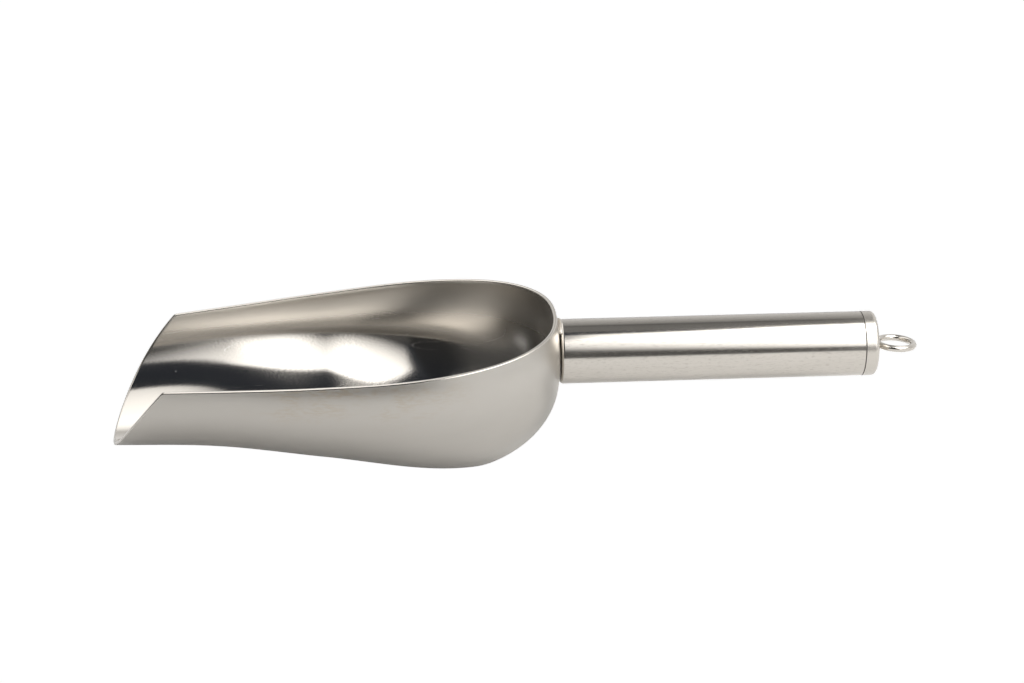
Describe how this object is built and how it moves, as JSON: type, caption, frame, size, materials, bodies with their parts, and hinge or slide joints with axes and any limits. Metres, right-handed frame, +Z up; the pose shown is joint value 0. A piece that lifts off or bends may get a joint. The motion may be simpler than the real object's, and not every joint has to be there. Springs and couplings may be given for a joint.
{
  "type": "ice scoop",
  "caption": "Pressed steel scoop with an open top and a slanted mouth, a round tubular handle with an end cap, and a small hanging ring that turns.",
  "frame": {"origin": "centre of the bounding box's underside, below the belly's lowest point's level, with the handle level", "axes": "+X along the handle's axis, from the bowl towards the hanging ring; +Z up, out of the bowl's open top; +Y completes a right-handed frame"},
  "size_m": [0.2366, 0.0716, 0.0451],
  "materials": {
    "bowl_steel": "satin outside, polished inside",
    "handle_steel": "finely brushed",
    "cap_steel": "satin",
    "ring_steel": "polished wire",
    "washer_steel": "plain",
    "weld_metal": "ground weld"
  },
  "bodies": {
    "scoop": {"bowl": "bowl_steel", "seat_weld": "weld_metal", "top_weld_bead": "weld_metal", "handle_tube": "handle_steel", "end_cap": "cap_steel"},
    "ring": {"hang_ring": "ring_steel", "ring_washer": "washer_steel"}
  },
  "joints": [
    {"name": "ring_swivel", "type": "hinge", "parent": "scoop", "child": "ring", "pos_m": [0.1055, 0, 0.0328], "axis": [1, 0, 0], "continuous": true}
  ]
}
